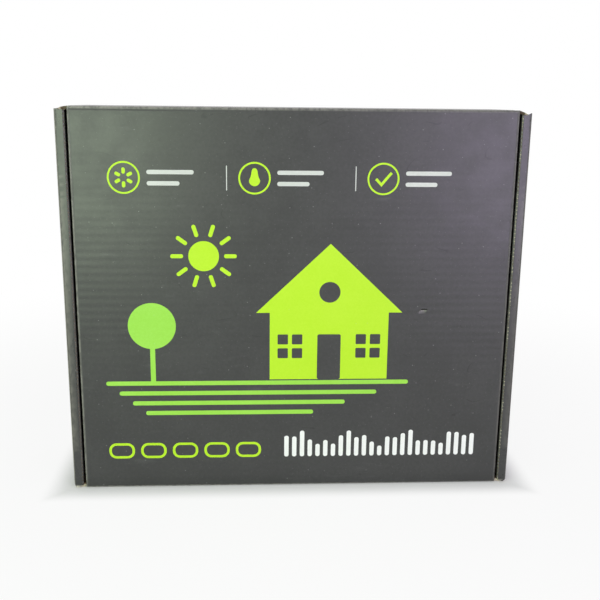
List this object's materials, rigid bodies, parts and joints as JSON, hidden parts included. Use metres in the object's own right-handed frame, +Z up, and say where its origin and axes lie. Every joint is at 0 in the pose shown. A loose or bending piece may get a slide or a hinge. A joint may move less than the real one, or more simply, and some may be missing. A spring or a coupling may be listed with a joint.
{
  "type": "corrugated mailer box",
  "caption": "Flat corrugated mailer box with a hinged tuck-in lid and rolled double side walls, for packing and posting a portable device and its cable.",
  "frame": {"origin": "middle of the face that the box stands on, its tuck wall, under the centre of the closed box", "axes": "+X along the lid's crease, +Y from the lid to the base panel, +Z up from the tuck wall to the hinge wall"},
  "size_m": [0.364, 0.1, 0.31],
  "materials": {
    "tray_board": "satin charcoal print outside, brown kraft inside",
    "lid_board": "satin charcoal print outside, brown kraft inside"
  },
  "bodies": {
    "tray": {"tray": "tray_board"},
    "lid": {"lid": "lid_board"}
  },
  "joints": [
    {"name": "lid_hinge", "type": "hinge", "parent": "tray", "child": "lid", "pos_m": [0, -0.04875, 0.30875], "axis": [-1, 0, 0], "range_deg": [0, 180]}
  ]
}
